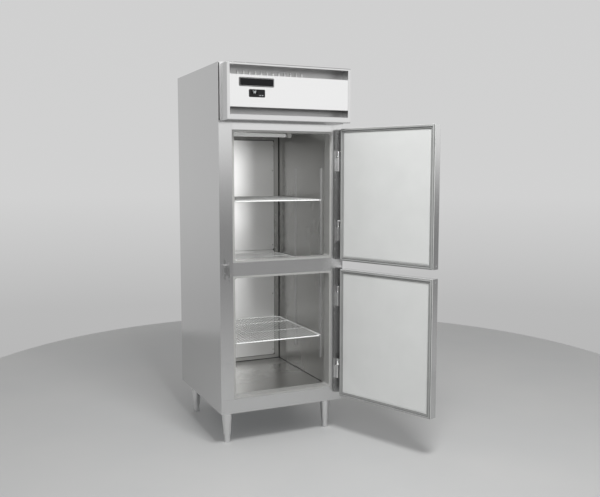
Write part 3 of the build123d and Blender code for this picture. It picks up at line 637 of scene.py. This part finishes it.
def build_hood_baffle():
    """Sheet behind the front panel; small upright louvres are pressed out of it inside the upper opening, in a
    much lighter metal as a painted highlight.
    """
    low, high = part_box("hood_shell")
    left, right = low.x + 3 * MM, high.x - 3 * MM
    top, bottom = high.z - 2.2 * MM, low.z + 2.2 * MM
    bm = bmesh.new()
    add_box(bm, (left, BAFFLE_Y, bottom), (right, BAFFLE_Y + 1 * MM, top))
    finish_mesh("hood_baffle", bm, "cabinet", "baffle")
    louvres = bmesh.new()
    z0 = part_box("hood_panel")[1].z + LOUVRE_LIFT
    wide, proud, tall = LOUVRE_SIZE
    for i in range(LOUVRES):
        x = left + LOUVRE_START + LOUVRE_GAP * i
        add_box(louvres, (x, BAFFLE_Y - proud, z0), (x + wide, BAFFLE_Y + 0.5 * MM, z0 + tall), 2.8 * MM)
    finish_mesh("baffle_louvres", louvres, "cabinet", "louvre_painted_highlight")


def build_name_plate():
    """Blank black plate with a bright pinstripe just inside its edge."""
    softened("name_plate", "plate_enamel", 0.5 * MM)
    low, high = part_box("name_plate")
    inset, stroke, rise = 3.2 * MM, 0.9 * MM, 0.15 * MM
    x0, x1, z0, z1 = low.x + inset, high.x - inset, low.z + inset, high.z - inset
    y0, y1 = low.y - rise, low.y + rise
    bm = bmesh.new()
    for z in (z0, z1 - stroke):
        add_box(bm, (x0, y0, z), (x1, y1, z + stroke))
    for x in (x0, x1 - stroke):
        add_box(bm, (x, y0, z0 + stroke), (x + stroke, y1, z1 - stroke))
    finish_mesh("plate_pinstripe", bm, "cabinet", "bright")


# Bars of a seven-bar digit: x and z of the bar's middle in half digits, and whether it is upright.
DIGIT_BARS = {"a": (0, 2, False), "b": (1, 1, True), "c": (1, -1, True), "d": (0, -2, False),
              "e": (-1, -1, True), "f": (-1, 1, True), "g": (0, 0, False)}
DIGITS = {"3": "abcdg", "8": "abcdefg"}


def build_display():
    """Smoked window with a two-digit reading, and marks on the two keys."""
    low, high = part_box("controller")
    window = bmesh.new()
    y = low.y
    x0, x1 = low.x + 10 * MM, high.x - 40 * MM
    z0, z1 = high.z - 22 * MM, high.z - 5 * MM
    add_box(window, (x0, y - 0.5 * MM, z0), (x1, y + 0.2 * MM, z1), 0.25 * MM)
    finish_mesh("display_window", window, "cabinet", "window")
    bars = bmesh.new()
    half_x, half_z, stroke = 2.6 * MM, 2.9 * MM, 0.8 * MM
    for i, digit in enumerate("38"):
        cx = (x0 + x1) / 2 + (i * 2 - 1) * 4.6 * MM
        cz = (z0 + z1) / 2
        for bar in DIGITS[digit]:
            bx, bz, upright = DIGIT_BARS[bar]
            mx, mz = cx + bx * half_x, cz + bz * half_z
            reach = (stroke / 2, half_z * 0.82) if upright else (half_x * 0.82, stroke / 2)
            add_box(bars, (mx - reach[0], y - 0.7 * MM, mz - reach[1]),
                    (mx + reach[0], y - 0.45 * MM, mz + reach[1]))
    finish_mesh("display_digits", bars, "cabinet", "digits")
    for key, way in (("key_down", -1), ("key_up", 1)):
        low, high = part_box(key)
        middle = (low + high) / 2
        mark = bmesh.new()
        size = 1.5 * MM
        base, tip = -way * size * 0.7, way * size * 0.9
        corners = [(middle.x - size, base), (middle.x + size, base), (middle.x, tip)]
        front = [mark.verts.new((x, low.y - 0.12 * MM, middle.z + z)) for x, z in corners]
        back = [mark.verts.new((x, low.y + 0.1 * MM, middle.z + z)) for x, z in corners]
        mark.faces.new(front)
        mark.faces.new(back[::-1])
        bridge(mark, front, back)
        finish_mesh(f"{key}_mark", mark, key, "digits")


# ---- painted shade at the joints of the liner and its panels ----
SHEET = 1.5 * MM
# The dark strips and rods built below are painted shade at the liner's joints and corners, not a real seal.
FLOOR_SHADE_RUN = 0.62
PANEL_SHADE_STRIP = (4 * MM, 5 * MM)      # width and thickness of the dark strips round the duct panels, painted shade
CORNER_SHADE_RADIUS = 5 * MM


def build_joint_shade():
    """Dark strips round the duct panels and dark rods along the corners of the liner: painted shade where the
    panels meet the liner and in its corners.
    """
    low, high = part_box("duct_panels")
    liner_low, liner_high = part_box("liner")
    wall = liner_high.y - SHEET
    bm = bmesh.new()
    verts = [v.co.z for v in NODES["duct_panels"].data.vertices]
    middle = (low.z + high.z) / 2
    split_low = max(z for z in verts if z < middle)
    split_high = min(z for z in verts if z > middle)
    for z0, z1 in ((low.z, split_low), (split_high, high.z)):
        add_strips(bm, ((low.x, wall, z0), (high.x, wall, z1)), *PANEL_SHADE_STRIP)
    x, z0, z1 = liner_high.x - SHEET, liner_low.z + SHEET, liner_high.z - SHEET
    floor_shade_radius = CORNER_SHADE_RADIUS * 0.8
    for side in (-1, 1):
        add_rod(bm, (side * x, wall, z0), (side * x, wall, z1), CORNER_SHADE_RADIUS, segments=12)
        add_rod(bm, (side * x, wall - FLOOR_SHADE_RUN, z0), (side * x, wall, z0), floor_shade_radius, segments=12)
    add_rod(bm, (-x, wall, z0), (x, wall, z0), floor_shade_radius, segments=12)
    finish_mesh("liner_joint_shade", bm, "cabinet", "painted_shade")


# ---- lamp ----
LAMP_CAP = 12 * MM
LAMP_PIN = (3 * MM, 1.1 * MM)      # length and half spacing, and radius


def build_lamp():
    """Glass tube with metal end caps and their pins."""
    low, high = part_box("lamp_tube")
    centre = (low + high) / 2
    radius = (high.z - low.z) / 2
    pin, pin_radius = LAMP_PIN

    def at(x, y=0.0):
        return (x, centre.y + y, centre.z)

    glass = bmesh.new()
    add_rod(glass, at(low.x + LAMP_CAP * 0.6), at(high.x - LAMP_CAP * 0.6), radius, segments=40)
    finish_mesh("tube_glass", glass, "cabinet", "lamp_glass", ("lamp_tube",))
    caps = bmesh.new()
    for end, way in ((low.x, 1), (high.x, -1)):
        add_rod(caps, at(end), at(end + way * LAMP_CAP), radius + 0.3 * MM, segments=40)
        for y in (-pin, pin):
            add_rod(caps, at(end - way * pin, y), at(end, y), pin_radius, segments=10)
    finish_mesh("tube_caps", caps, "cabinet", "bright")


# ---- ceiling port ----
GRILLE = (-0.176, 0.176, 0.074, 0.296)      # left, right, front and back edges
GRILLE_SLATS = 16


def build_return_grille():
    """Slatted grille under the air opening in the ceiling."""
    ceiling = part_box("liner")[1].z - SHEET
    x0, x1, y0, y1 = GRILLE
    drop, bar = 5 * MM, 10 * MM
    bm = bmesh.new()
    for box_low, box_high in (((x0, y0), (x1, y0 + bar)), ((x0, y1 - bar), (x1, y1)),
                              ((x0, y0 + bar), (x0 + bar, y1 - bar)), ((x1 - bar, y0 + bar), (x1, y1 - bar))):
        add_box(bm, (*box_low, ceiling - drop), (*box_high, ceiling), 0.6 * MM)
    slat, thick = 2.2 * MM, 1.2 * MM
    pitch = (y1 - y0 - 2 * bar) / GRILLE_SLATS
    for i in range(GRILLE_SLATS):
        y = y0 + bar + pitch * (i + 0.5)
        add_box(bm, (x0 + bar, y - slat, ceiling - drop), (x1 - bar, y + slat, ceiling - drop + thick))
    finish_mesh("ceiling_grille", bm, "cabinet", "duct_steel_painted_light")


# ---- finned coils ----
def add_fins(bm, low, high, pitch, thick):
    count = int((high[0] - low[0]) / pitch)
    for i in range(count + 1):
        x = low[0] + pitch * i
        add_box(bm, (x - thick / 2, low[1], low[2]), (x + thick / 2, high[1], high[2]))


def add_rows(bm, x0, x1, ys, zs, radius, bend):
    """Straight tubes through the fins, joined by half-round bends beyond them in turn."""
    for y in ys:
        for z in zs:
            add_rod(bm, (x0, y, z), (x1, y, z), radius, segments=14)
        for i, (za, zb) in enumerate(zip(zs, zs[1:])):
            way, x = (1, x1) if i % 2 == 0 else (-1, x0)
            middle, half = (za + zb) / 2, (zb - za) / 2
            steps = [math.pi * (k / 10 - 0.5) for k in range(11)]
            path = [(x + way * bend * math.cos(t), y, middle + half * math.sin(t)) for t in steps]
            add_tube(bm, path, radius)


def build_condenser():
    """Fins between two mounting plates, with two rows of eight tubes."""
    low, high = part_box("condenser")
    x0, x1 = low.x + 14 * MM, high.x - 14 * MM
    y0, y1 = low.y + 4 * MM, high.y - 4 * MM
    z0, z1 = low.z + 16 * MM, high.z - 6 * MM
    fins = bmesh.new()
    add_fins(fins, (x0 + 3 * MM, y0, z0), (x1 - 3 * MM, y1, z1), 3.2 * MM, 0.35 * MM)
    finish_mesh("condenser_fins", fins, "cabinet", "fins", ("condenser",))
    plates = bmesh.new()
    for x in (x0 - 2 * MM, x1):
        add_box(plates, (x, low.y, DECK_Z), (x + 2 * MM, high.y, high.z), 0.4 * MM)
        add_box(plates, (x - 8 * MM, low.y, DECK_Z), (x + 10 * MM, high.y, DECK_Z + 1.6 * MM), 0.3 * MM)
    finish_mesh("condenser_side_plates", plates, "cabinet", "zinc")
    rows = bmesh.new()
    tubes = 8
    zs = [z0 + (z1 - z0) * (i + 0.5) / tubes for i in range(tubes)]
    add_rows(rows, x0 - 3 * MM, x1 + 3 * MM, (y0 + 12 * MM, y1 - 12 * MM), zs, 4.4 * MM, 9 * MM)
    finish_mesh("condenser_tubes", rows, "cabinet", "copper")


EVAPORATOR_RIGHT = -0.020
EVAPORATOR_Y = (0.090, 0.285)


def build_evaporator():
    """Fins, four rows of four tubes, and the fan's motor on its shaft."""
    low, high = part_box("evaporator_coil")
    x0, x1 = low.x + 3 * MM, EVAPORATOR_RIGHT
    y0, y1 = EVAPORATOR_Y
    z0, z1 = DECK_Z + 14 * MM, DECK_Z + 110 * MM
    fins = bmesh.new()
    add_fins(fins, (x0 + 2 * MM, y0, z0), (x1 - 2 * MM, y1, z1), 4.2 * MM, 0.4 * MM)
    for x in (x0 - 3 * MM, x1):
        add_box(fins, (x, y0 - 4 * MM, DECK_Z), (x + 3 * MM, y1 + 4 * MM, DECK_Z + 114 * MM), 0.4 * MM)
    finish_mesh("evaporator_fins", fins, "cabinet", "fins", ("evaporator_coil",))
    rows = bmesh.new()
    ys = [y0 + 24 * MM + 49 * MM * i for i in range(4)]
    zs = [z0 + (z1 - z0) * (i + 0.5) / 4 for i in range(4)]
    add_rows(rows, x0 - 4 * MM, x1 + 4 * MM, ys, zs, 4.2 * MM, 8 * MM)
    finish_mesh("evaporator_tubes", rows, "cabinet", "copper")
    motor = bmesh.new()
    hub_low, hub_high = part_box("evaporator_fan")
    cx, cy = (hub_low.x + hub_high.x) / 2, (hub_low.y + hub_high.y) / 2
    add_rod(motor, (cx, cy, high.z - 50 * MM), (cx, cy, high.z - 46 * MM), 20 * MM, 26 * MM, 40)
    add_rod(motor, (cx, cy, high.z - 46 * MM), (cx, cy, high.z), 26 * MM, segments=40)
    add_rod(motor, (cx, cy, hub_low.z + 4 * MM), (cx, cy, high.z - 48 * MM), 3 * MM)
    finish_mesh("evaporator_motor", motor, "cabinet", "compressor")


# ---- screws ----
SCREW_RADIUS = 3.6 * MM
SCREW_EDGE = 16 * MM
SIDE_SCREWS = 9
SIDE_SCREW_END = 40 * MM
ROW_SCREWS = 5


def build_screws():
    """Pan-head screws down both sides of the back panel and along its top and bottom."""
    low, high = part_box("back_panel")
    bm = bmesh.new()
    for i in range(SIDE_SCREWS):
        z = low.z + SIDE_SCREW_END + (high.z - low.z - 2 * SIDE_SCREW_END) * i / (SIDE_SCREWS - 1)
        for x in (low.x + SCREW_EDGE, high.x - SCREW_EDGE):
            add_pan_head(bm, (x, high.y, z), (0, 1, 0), SCREW_RADIUS)
    for i in range(ROW_SCREWS):
        x = low.x + SCREW_EDGE + (high.x - low.x - 2 * SCREW_EDGE) * i / (ROW_SCREWS - 1)
        for z in (low.z + SCREW_EDGE, high.z - SCREW_EDGE):
            add_pan_head(bm, (x, high.y, z), (0, 1, 0), SCREW_RADIUS)
    finish_mesh("back_panel_screws", bm, "cabinet", "bright")


COMPRESSOR_RADIUS = 82 * MM
HOLD_DOWN = (80 * MM, 55 * MM)      # half spacing of the bolts in x and y


def build_compressor_fittings():
    """Hold-down bolts and the sealed process tube of the compressor."""
    low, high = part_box("compressor")
    cx, cy = (low.x + high.x) / 2, low.y + COMPRESSOR_RADIUS
    bolts = bmesh.new()
    for side in (-1, 1):
        for end in (-1, 1):
            x, y = cx + side * HOLD_DOWN[0], cy + end * HOLD_DOWN[1]
            add_rod(bolts, (x, y, low.z + 22 * MM), (x, y, low.z + 24 * MM), 9 * MM, segments=28)
            add_rod(bolts, (x, y, low.z + 24 * MM), (x, y, low.z + 30 * MM), 6.5 * MM, segments=6)
    finish_mesh("compressor_bolts", bolts, "cabinet", "bright")
    stub = bmesh.new()
    route = ((-40, -12), (-40, 14), (-44, 26), (-56, 34))      # y and z in mm from the centre and the top
    add_tube(stub, [(cx - 8 * MM, cy + y * MM, high.z + z * MM) for y, z in route], 3.2 * MM)
    finish_mesh("process_tube", stub, "cabinet", "copper")


def build_pieces():
    build_rounded()
    for door in ("upper", "lower"):
        build_gasket(door)
    build_hood_baffle()
    build_name_plate()
    build_display()
    build_joint_shade()
    build_lamp()
    build_return_grille()
    build_condenser()
    build_evaporator()
    build_screws()
    build_compressor_fittings()


build_pieces()
build_studio()
